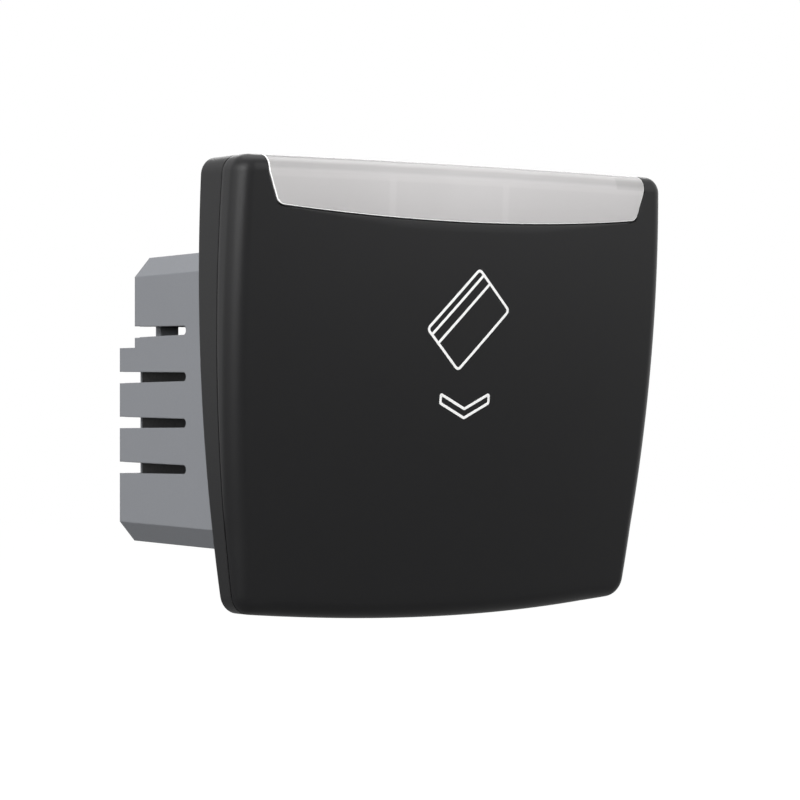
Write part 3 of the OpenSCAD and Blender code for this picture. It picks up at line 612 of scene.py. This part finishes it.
def frosted(name, rgba, c, b):
    """Frosted acrylic with painted light and shade: the parts behind show faintly as painted paler and darker
    bands, with painted shade towards the left end and the foot, and painted highlights and shade along the
    top.

    Each layer is a band across the bar and a band of heights, and multiplies the tone by a factor where both
    are 1. The bands are in millimetres, as the function band takes them.
    """
    material, tree, output = new_material(name)
    place = add_node(tree, "ShaderNodeTexCoord").outputs["Object"]
    part = add_node(tree, "ShaderNodeSeparateXYZ", {"Vector": place}).outputs
    x, z = part["X"], part["Z"]
    # painted light over the ribs: they lie 6 mm behind the front, so from the left they show this far to the
    # left of their place
    shift = 4.4
    ribs = add_node(tree, "ShaderNodeMath", {0: x, 1: shift * MM}, operation="ADD").outputs[0]
    ribs = add_node(tree, "ShaderNodeMath", {0: ribs}, operation="ABSOLUTE").outputs[0]
    cloud_size = 9 * MM
    cloud = add_node(tree, "ShaderNodeTexNoise", {
        "Vector": place, "Scale": 1 / cloud_size, "Detail": 2.0, "Roughness": 0.5
    }).outputs["Fac"]
    tone = add_node(tree, "ShaderNodeMix", {
        "Factor": cloud, "A": shaded(rgba, 0.97), "B": shaded(rgba, 1.03)
    }, data_type="RGBA").outputs[2]
    top, low, rib = c.top / MM, b.low / MM, b.rib_place / MM
    half = b.top_width / 2 / MM
    whole = (x, 0, half, 1)
    painted_light_layers = (
        # painted light: paler over the ribs, and over the top of the frame's plate behind the bar
        ((ribs, rib, 0.3, 0.6), (z, low + 2.5, 2.9, 0.8), 1.05),
        (whole, (z, top - 2.9, 0.12, 0.4), 1.05),
        # painted shade: darker over the tab at the right end
        ((x, half - 3.0, 3.1, 0.5), (z, top - 1.6, 0.75, 0.25), 0.87),
        # painted shade: darker towards the left end and towards the foot, where less light falls
        ((x, -half, 0, 40), (z, low, 12, 1), 0.82),
        (whole, (z, low - 2, 0, 9), 0.86),
        # painted shade on the thin top over the pocket behind it, with a painted highlight line in it
        (whole, (z, top, 1.65, 0.85), 0.7),
        (whole, (z, top - 0.72, 0.1, 0.4), 1.13),
        # painted shade: a dark line along the top edge, deeper towards the right
        (whole, (z, top, 0.14, 0.35), 0.43),
        ((x, half, 5, 45), (z, top, 0.25, 0.3), 0.72),
    )
    for across, up, factor in painted_light_layers:
        mask = add_node(tree, "ShaderNodeMath", {
            0: band(tree, *across), 1: band(tree, *up)
        }, operation="MULTIPLY").outputs[0]
        tone = add_node(tree, "ShaderNodeMix", {
            "Factor": mask, "A": tone, "B": (factor, factor, factor, 1)
        }, data_type="RGBA", blend_type="MULTIPLY").outputs[2]
    surface = add_node(tree, "ShaderNodeBsdfPrincipled", {
        "Base Color": tone, "Roughness": 0.32, "IOR": 1.49, "Specular IOR Level": 0.35,
        "Subsurface Weight": 0.3, "Subsurface Radius": (1.0, 1.0, 1.0), "Subsurface Scale": 1.5 * MM,
    })
    tree.links.new(surface.outputs["BSDF"], output.inputs["Surface"])
    return material


def rolled_metal(name, rgba, rough, streak, soft_edge, lengthwise=(1, 1, 0.08), dull=0.12):
    """Worked metal: drawing or rolling streaks, long where lengthwise is small, and a patchy dull film.

    streak and soft_edge are in millimetres.
    """
    film_size = 4 * MM
    streak_depth = 0.01 * MM
    material, tree, output = new_material(name)
    place = add_node(tree, "ShaderNodeTexCoord").outputs["Object"]
    drawn = add_node(tree, "ShaderNodeMapping", {"Vector": place, "Scale": lengthwise}).outputs["Vector"]
    lines = add_node(tree, "ShaderNodeTexNoise", {
        "Vector": drawn, "Scale": 1 / (streak * MM), "Detail": 3.0
    }).outputs["Fac"]
    film = add_node(tree, "ShaderNodeTexNoise", {
        "Vector": place, "Scale": 1 / film_size, "Detail": 4.0
    }).outputs["Fac"]
    tone = add_node(tree, "ShaderNodeMix", {
        "Factor": film, "A": shaded(rgba, 1 - dull), "B": rgba
    }, data_type="RGBA")
    gloss = add_node(tree, "ShaderNodeMapRange", {
        "Value": lines, "From Min": 0.3, "From Max": 0.7, "To Min": rough - 0.07, "To Max": rough + 0.1
    }).outputs["Result"]
    edge = add_node(tree, "ShaderNodeBevel", {"Radius": soft_edge * MM}, samples=6).outputs["Normal"]
    bump = add_node(tree, "ShaderNodeBump", {
        "Height": lines, "Strength": 0.25, "Distance": streak_depth, "Normal": edge
    }).outputs["Normal"]
    surface = add_node(tree, "ShaderNodeBsdfPrincipled", {
        "Base Color": tone.outputs[2], "Metallic": 1.0, "Roughness": gloss, "Normal": bump
    })
    tree.links.new(surface.outputs["BSDF"], output.inputs["Surface"])
    return material


def solder_mask(name, rgba):
    """Glass-epoxy board under green solder mask: copper areas show as paler bands 4 mm wide, 10 mm apart."""
    # the wave texture's phase is 20 times its scaled coordinate, and grows by one radian in this height
    radian = 1.6 * MM
    weave_size = 0.5 * MM
    copper_thickness = 0.03 * MM
    material, tree, output = new_material(name)
    place = add_node(tree, "ShaderNodeTexCoord").outputs["Object"]
    wave = add_node(tree, "ShaderNodeTexWave", {
        "Vector": place, "Scale": 1 / (20 * radian), "Distortion": 0.0
    }, wave_type="BANDS", bands_direction="Z").outputs["Fac"]
    copper = add_node(tree, "ShaderNodeMapRange", {
        "Value": wave, "From Min": 0.6, "From Max": 0.7
    }).outputs["Result"]
    weave = add_node(tree, "ShaderNodeTexNoise", {"Vector": place, "Scale": 1 / weave_size}).outputs["Fac"]
    tone = add_node(tree, "ShaderNodeMix", {
        "Factor": copper, "A": rgba, "B": shaded(rgba, 1.6)
    }, data_type="RGBA")
    bump = add_node(tree, "ShaderNodeBump", {
        "Height": copper, "Strength": 0.4, "Distance": copper_thickness
    }).outputs["Normal"]
    gloss = add_node(tree, "ShaderNodeMapRange", {
        "Value": weave, "To Min": 0.25, "To Max": 0.38
    }).outputs["Result"]
    surface = add_node(tree, "ShaderNodeBsdfPrincipled", {
        "Base Color": tone.outputs[2], "Roughness": gloss, "Normal": bump
    })
    tree.links.new(surface.outputs["BSDF"], output.inputs["Surface"])
    return material


def dress(material, *nodes):
    """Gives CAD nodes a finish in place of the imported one."""
    for name in nodes:
        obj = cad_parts[name]
        obj.data.materials.clear()
        obj.data.materials.append(material)


def finish_piece(obj, material, slot, *nodes):
    """Gives a new piece its finish and body, and hides the CAD nodes that it stands for."""
    obj.data.materials.append(material)
    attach(obj, "root")
    if nodes:
        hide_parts(*nodes)


class CARDSWITCH_OT_cover(bpy.types.Operator):
    """Builds the black front cover."""

    bl_idname = "card_switch.cover"
    bl_label = "Front cover"

    def execute(self, context):
        scene = context.scene
        c, b = scene.card_switch_cover, scene.card_switch_bar
        # the top wall goes on behind the bar as far as its tabs, just under the top edge
        just_under = 0.02 * MM
        low, high = c.top - c.wall, c.top - just_under
        behind, before = parting_depth(c, high) + PARTING_GAP, b.back - b.gap
        rail = [[behind, high], [before, high], [before, low], [behind, low]]
        near = b.mouth + b.tab
        reach = b.top_width / 2 + b.gap
        rails = [prism(rail, near, reach), prism(rail, -reach, -near)]
        obj = add_mesh("cover_moulding", [cover_shell(c, b), *rails])
        # ABS with a fine satin mould texture: even black with a soft broad sheen
        abs_black = moulded(
            "ABS_black_satin_moulded", tuple(scene.card_switch_finish.cover),
            rough=0.38, grain=0.22, grain_depth=0.006, soft_edge=0.1, spread=0.06,
            **{"Specular IOR Level": 0.2, "IOR": 1.5},
        )
        finish_piece(obj, abs_black, "cover_black", "front_cover")
        return {"FINISHED"}


class CARDSWITCH_OT_bar(bpy.types.Operator):
    """Builds the frosted light bar with its light pipes."""

    bl_idname = "card_switch.bar"
    bl_label = "Light bar"

    def execute(self, context):
        scene = context.scene
        c, b = scene.card_switch_cover, scene.card_switch_bar
        kink = c.top - b.end_height
        # a pipe goes back from the bar, down in front of the wall plane and back to its lamp
        near = 2 * MM
        far = near + b.pipe_thick
        neck = kink - 2 * b.pipe_thick
        foot = 16.2 * MM
        knee = foot + b.pipe_thick
        tip = -1.4 * MM
        pipe = [
            [b.back, kink], [b.back, neck], [far, neck], [far, foot],
            [tip, foot], [tip, knee], [near, knee], [near, kink],
        ]
        behind, under = parting_depth(c, c.top) + b.gap, c.top - b.tab_height
        tab = [[behind, c.top], [b.back, c.top], [b.back, under], [behind, under]]
        low, high, rear = b.low + b.rib_width, kink - b.rib_width, b.back - b.rib_height
        rib = [[rear, high], [b.back, high], [b.back, low], [rear, low]]
        points, faces, rim = bar_shell(c, b)
        pieces = [(points, faces, [])]
        for side_view, inner, outer in (
            (pipe, b.pipe_inner, b.pipe_inner + b.pipe_width),
            (tab, b.mouth + b.gap, b.mouth + b.tab - b.gap),
            (rib, b.rib_place - b.rib_width / 2, b.rib_place + b.rib_width / 2),
        ):
            pieces += [prism(side_view, inner, outer), prism(side_view, -outer, -inner)]
        obj = add_mesh("light_bar_moulding", pieces)
        # acrylic frosted by the mould: milky, with a soft gloss, and with painted light and shade in its tone
        milky = frosted("Acrylic_frosted_painted_light", tuple(scene.card_switch_finish.bar), c, b)
        finish_piece(obj, milky, "diffuser", "light_bar")
        # the mould is polished along the rim; its near-white tone and faint glow there are a painted
        # highlight, as though light came out of the bar at the rim
        rim_painted_highlight = moulded(
            "Acrylic_rim_painted_highlight", linear("fdfdfc"),
            rough=0.15, grain=0.3, grain_depth=0.002, soft_edge=0.1, spread=0.01,
            **{"IOR": 1.49, "Emission Color": (1, 1, 1, 1), "Emission Strength": 0.12},
        )
        obj.data.materials.append(rim_painted_highlight)
        index = np.zeros(len(obj.data.polygons), np.int32)
        index[:len(rim)] = rim
        obj.data.polygons.foreach_set("material_index", index)
        return {"FINISHED"}


class CARDSWITCH_OT_print(bpy.types.Operator):
    """Builds the printed card sign and the arrow."""

    bl_idname = "card_switch.print"
    bl_label = "Printed signs"

    def execute(self, context):
        scene = context.scene
        c, p = scene.card_switch_cover, scene.card_switch_print
        # pad-printed ink: opaque white with a dry, even surface
        ink = moulded(
            "Ink_white_pad_printed", tuple(scene.card_switch_finish.ink),
            rough=0.5, grain=0.15, grain_depth=0.002, soft_edge=0.05, spread=0.03,
        )
        along = np.array([math.cos(p.card_turn), math.sin(p.card_turn)])
        across = np.array([math.sin(p.card_turn), -math.cos(p.card_turn)])
        centre = np.array([0, p.card_height])
        step = 0.12 * MM
        arrow_corner = 0.15 * MM
        # the stripe's ink is a little thinner than the outline's, so that their surfaces don't coincide
        stripe_ink = 0.9 * p.ink

        def spot(a, s):
            return centre + along * a + across * s

        long, wide = p.card_length / 2, p.card_width / 2
        rim = [spot(long, -wide), spot(long, wide), spot(-long, wide), spot(-long, -wide)]
        pieces = [ink_line(c, rounded_path(rim, p.card_corner, True, step), True, p.line, p.ink)]
        for s in (p.stripe_inset, p.stripe_inset + p.stripe_width):
            line = resample(np.stack([spot(-long, s - wide), spot(long, s - wide)]), step)
            pieces.append(ink_line(c, line, False, p.line, stripe_ink))
        finish_piece(add_mesh("card_sign", pieces), ink, "lever_white")

        top, mid, tall = p.arrow_top, p.arrow_top - p.arrow_drop, p.arrow_band
        edge = [
            [-p.arrow_half, top], [0, mid], [p.arrow_half, top],
            [p.arrow_half, top - tall], [0, mid - tall], [-p.arrow_half, top - tall],
        ]
        arrow = ink_line(c, rounded_path(edge, arrow_corner, True, step), True, p.line, p.ink)
        finish_piece(add_mesh("arrow_sign", [arrow]), ink, "lever_white")
        return {"FINISHED"}


class CARDSWITCH_OT_mouldings(bpy.types.Operator):
    """Finishes the moulded frame, case, contact block, lever and plunger."""

    bl_idname = "card_switch.mouldings"
    bl_label = "Moulded parts"

    def execute(self, context):
        f = context.scene.card_switch_finish
        # the frame's ABS is the cover's, a shade duller
        dress(moulded(
            "ABS_black_frame_moulded", shaded(f.cover, 0.92),
            rough=0.4, grain=0.22, grain_depth=0.006, soft_edge=0.25,
            **{"Specular IOR Level": 0.17, "IOR": 1.5},
        ), "rear_frame")
        # flame-proof polycarbonate in bluish grey with a matt mould texture
        dress(moulded(
            "Polycarbonate_grey_matt_moulded", tuple(f.case),
            rough=0.6, grain=0.35, grain_depth=0.012, soft_edge=0.3, cloud=18, spread=0.035,
            **{"Specular IOR Level": 0.2, "IOR": 1.58},
        ), "rear_case")
        # glass-filled nylon: dull black, rough where fibres lie at the surface
        dress(moulded(
            "Nylon_black_glass_filled", tuple(f.block),
            rough=0.6, grain=0.5, grain_depth=0.02, soft_edge=0.25, spread=0.12,
            **{"Specular IOR Level": 0.15, "IOR": 1.53},
        ), "contact_block", "contact_base")
        # acetal: waxy white or cream with a slippery gloss
        dress(moulded(
            "Acetal_white_moulded", tuple(f.lever),
            rough=0.3, grain=0.3, grain_depth=0.004, soft_edge=0.3, spread=0.03, IOR=1.48,
        ), "card_lever")
        dress(moulded(
            "Acetal_cream_moulded", tuple(f.plunger),
            rough=0.32, grain=0.3, grain_depth=0.004, soft_edge=0.2, spread=0.03, IOR=1.48,
        ), "plunger")
        return {"FINISHED"}


class CARDSWITCH_OT_spring(bpy.types.Operator):
    """Builds the return spring as a coil in the CAD node's box."""

    bl_idname = "card_switch.spring"
    bl_label = "Return spring"

    def execute(self, context):
        low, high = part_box("return_spring")
        obj = add_mesh("return_coil", [coil(context.scene.card_switch_spring, low, high)])
        # drawn spring wire: bright, with fine streaks
        wire = rolled_metal("Steel_spring_wire", linear("b4b7bb"), rough=0.28, streak=0.15, soft_edge=0.05)
        finish_piece(obj, wire, "steel", "return_spring")
        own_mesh(obj)
        return {"FINISHED"}


class CARDSWITCH_OT_metal(bpy.types.Operator):
    """Finishes the contact spring, pins, screws, strips, contacts and terminals."""

    bl_idname = "card_switch.metal"
    bl_label = "Metal parts"

    def execute(self, context):
        even = (1, 1, 1)
        # drawn steel wire and ground pin: bright, with fine streaks
        dress(rolled_metal(
            "Steel_drawn_bright", linear("b4b7bb"), rough=0.28, streak=0.15, soft_edge=0.05,
        ), "contact_spring", "lever_pin", "stem_clip")
        # zinc plating: bluish, slightly cloudy
        dress(rolled_metal(
            "Steel_zinc_plated", linear("a9b0b8"),
            rough=0.34, streak=0.3, soft_edge=0.15, lengthwise=even, dull=0.2,
        ), "terminal_screws", "case_screws", "board_screws")
        # rolled copper strip with the first brown film
        dress(rolled_metal(
            "Copper_rolled_strip", linear("c67a4a"), rough=0.32, streak=0.2, soft_edge=0.12, dull=0.25,
        ), "contact_bridge", "line_strip", "load_strip")
        # silver alloy rivets, dull from pressing
        dress(rolled_metal(
            "Silver_alloy_rivet", linear("d3d3cd"), rough=0.3, streak=0.2, soft_edge=0.15, lengthwise=even,
        ), "bridge_tips", "fixed_tips")
        # machined brass: fine feed marks and a warm gloss
        dress(rolled_metal(
            "Brass_machined", linear("c9a44e"), rough=0.27, streak=0.25, soft_edge=0.15,
        ), "neutral_strip", "pilot_strip", "terminal_cages")
        return {"FINISHED"}


class CARDSWITCH_OT_board(bpy.types.Operator):
    """Finishes the lamp board and its components."""

    bl_idname = "card_switch.board"
    bl_label = "Lamp board"

    def execute(self, context):
        f = context.scene.card_switch_finish
        dress(solder_mask("Glass_epoxy_green_mask", tuple(f.mask)), "led_board")
        # clear epoxy over a yellow phosphor
        dress(moulded(
            "Epoxy_lamp_phosphor", linear("efe6b0"),
            rough=0.2, grain=0.2, grain_depth=0.002, soft_edge=0.1, spread=0.05, IOR=1.52,
        ), "leds")
        # moulded epoxy packages: matt near-black with a fine filler grain
        dress(moulded(
            "Epoxy_black_package", linear("232325"),
            rough=0.55, grain=0.15, grain_depth=0.008, soft_edge=0.1, spread=0.1, IOR=1.55,
        ), "led_resistors", "rectifier")
        return {"FINISHED"}


def seen_directly(tree):
    """1 for rays from the camera, a mirror or through glass, and 0 for the rays that light the object."""
    path = add_node(tree, "ShaderNodeLightPath")
    seen = path.outputs["Is Camera Ray"]
    for name in ("Is Glossy Ray", "Is Transmission Ray"):
        seen = add_node(tree, "ShaderNodeMath", {
            0: seen, 1: path.outputs[name]
        }, operation="MAXIMUM").outputs[0]
    return seen


def soft_lamp(name, place, aim, width, watts):
    """A square area lamp of the given width, turned from its place towards a point."""
    data = bpy.data.lights.new(name, "AREA")
    data.shape = "SQUARE"
    data.size = width
    data.energy = watts
    lamp = bpy.data.objects.new(name, data)
    lamp.location = place
    lamp.rotation_euler = (Vector(aim) - Vector(place)).to_track_quat("-Z", "Y").to_euler()
    bpy.context.scene.collection.objects.link(lamp)


class CARDSWITCH_OT_stage(bpy.types.Operator):
    """Builds the floor, the lamps, the white surroundings and the camera."""

    bl_idname = "card_switch.stage"
    bl_label = "Stage"

    def execute(self, context):
        scene = context.scene
        scene.view_settings.view_transform = "Standard"
        white = (1, 1, 1, 1)
        # level line of sight of the camera, from the cover's left
        sight = (0.594, 0.8044, 0)

        world = bpy.data.worlds.new("white_studio")
        world.use_nodes = True
        tree = world.node_tree
        tree.nodes.clear()
        # white where it is seen, and weaker as a light on the object
        strength = add_node(tree, "ShaderNodeMapRange", {
            "Value": seen_directly(tree), "To Min": 0.3, "To Max": 1.0
        }).outputs["Result"]
        sky = add_node(tree, "ShaderNodeBackground", {"Color": white, "Strength": strength})
        add_node(tree, "ShaderNodeOutputWorld", {"Surface": sky.outputs["Background"]})
        scene.world = world

        reach, height = 3, -0.16
        corners = np.array([[-1, -1], [1, -1], [1, 1], [-1, 1]]) * reach
        corners = np.column_stack([corners, np.full(4, height)])
        floor = add_mesh("pale_floor", [(corners, np.array([[0, 1, 2, 3]]), [])])
        # matt paint that keeps the shadow, with a painted glow that lifts it to pale round the object and to
        # white behind it
        material, tree, output = new_material("Floor_pale_matt")
        matt = add_node(tree, "ShaderNodeBsdfDiffuse", {"Color": (0.1, 0.1, 0.1, 1)})
        place = add_node(tree, "ShaderNodeTexCoord").outputs["Object"]
        far = add_node(tree, "ShaderNodeVectorMath", {
            0: place, 1: sight
        }, operation="DOT_PRODUCT").outputs["Value"]
        pale = add_node(tree, "ShaderNodeMapRange", {
            "Value": far, "From Min": 0.3, "From Max": 0.68, "To Min": 0.32, "To Max": 0.97
        }, interpolation_type="SMOOTHSTEP").outputs["Result"]
        lift = add_node(tree, "ShaderNodeMath", {
            0: seen_directly(tree), 1: pale
        }, operation="MULTIPLY").outputs[0]
        glow = add_node(tree, "ShaderNodeEmission", {"Color": white, "Strength": lift})
        both = add_node(tree, "ShaderNodeAddShader", {0: matt.outputs["BSDF"], 1: glow.outputs["Emission"]})
        tree.links.new(both.outputs["Shader"], output.inputs["Surface"])
        floor.data.materials.append(material)

        centre = (0, 0.01, 0)
        soft_lamp("lamp_key", (-0.8, -0.52, 0.35), centre, width=0.74, watts=11.8)
        soft_lamp("lamp_left", (-0.96, 0.08, 0.34), centre, width=0.64, watts=2.6)
        soft_lamp("lamp_side", (-0.7, 0.78, 0.34), centre, width=1.0, watts=0.9)
        soft_lamp("lamp_front", (0.62, -0.85, 0.46), centre, width=0.78, watts=4.9)
        soft_lamp("lamp_top", (0.1, 0.1, 1.1), centre, width=0.9, watts=6)
        soft_lamp("lamp_rear", (0.7, 0.95, 0.45), centre, width=0.8, watts=5)

        data = bpy.data.cameras.new("camera")
        data.sensor_width = 36
        data.lens = 131.6
        data.clip_start = 0.01
        camera = bpy.data.objects.new("camera", data)
        camera.location = (-0.27265, -0.3632, 0)
        camera.rotation_euler = Vector(sight).to_track_quat("-Z", "Y").to_euler()
        scene.collection.objects.link(camera)
        scene.camera = camera
        return {"FINISHED"}


GROUPS = {
    "card_switch_cover": CardSwitchCover,
    "card_switch_bar": CardSwitchBar,
    "card_switch_print": CardSwitchPrint,
    "card_switch_spring": CardSwitchSpring,
    "card_switch_finish": CardSwitchFinish,
}
OPERATORS = (
    CARDSWITCH_OT_cover, CARDSWITCH_OT_bar, CARDSWITCH_OT_print, CARDSWITCH_OT_mouldings,
    CARDSWITCH_OT_spring, CARDSWITCH_OT_metal, CARDSWITCH_OT_board, CARDSWITCH_OT_stage,
)


class CARDSWITCH_PT_panel(bpy.types.Panel):
    """Lists the pieces and their sizes."""

    bl_idname = "CARDSWITCH_PT_panel"
    bl_label = "Card switch"
    bl_space_type = "VIEW_3D"
    bl_region_type = "UI"
    bl_category = "Card switch"

    def draw(self, context):
        for operator in OPERATORS:
            self.layout.operator(operator.bl_idname)
        for key, group in GROUPS.items():
            box = self.layout.box()
            for name in group.__annotations__:
                box.prop(getattr(context.scene, key), name)


CLASSES = (*GROUPS.values(), *OPERATORS, CARDSWITCH_PT_panel)


def register():
    for cls in CLASSES:
        bpy.utils.register_class(cls)
    for key, group in GROUPS.items():
        setattr(bpy.types.Scene, key, bpy.props.PointerProperty(type=group))


def unregister():
    for key in GROUPS:
        delattr(bpy.types.Scene, key)
    for cls in reversed(CLASSES):
        bpy.utils.unregister_class(cls)


def main():
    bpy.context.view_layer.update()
    register()
    bpy.ops.card_switch.cover()
    bpy.ops.card_switch.bar()
    bpy.ops.card_switch.print()
    bpy.ops.card_switch.mouldings()
    bpy.ops.card_switch.spring()
    bpy.ops.card_switch.metal()
    bpy.ops.card_switch.board()
    bpy.ops.card_switch.stage()


if __name__ == "__main__":
    main()
